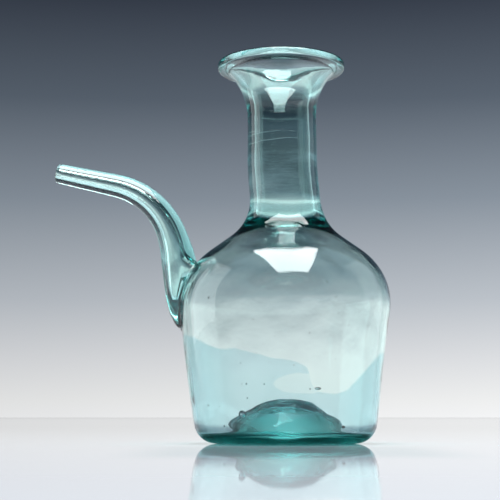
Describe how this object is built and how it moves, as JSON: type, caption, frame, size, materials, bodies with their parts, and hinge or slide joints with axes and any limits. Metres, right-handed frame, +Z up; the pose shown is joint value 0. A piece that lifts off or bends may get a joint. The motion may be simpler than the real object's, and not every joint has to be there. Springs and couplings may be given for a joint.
{
  "type": "glass porron",
  "caption": "Free blown aqua glass wine jug with a flared mouth, a pushed-up foot and a tapering pouring spout; held by the neck and drunk from in a thin stream.",
  "frame": {"origin": "middle of the whole jug's box, spout included, on the surface that the foot stands on", "axes": "+Z up, -X the way the spout points, +Y away from a viewer who sees the spout on the left"},
  "size_m": [0.1856, 0.1152, 0.2124],
  "materials": {
    "aqua_glass": "clear, fire polished, pale blue-green by its thickness, with seeds and faint tool marks"
  },
  "bodies": {
    "root": {"glass_porron": "aqua_glass"}
  },
  "joints": []
}
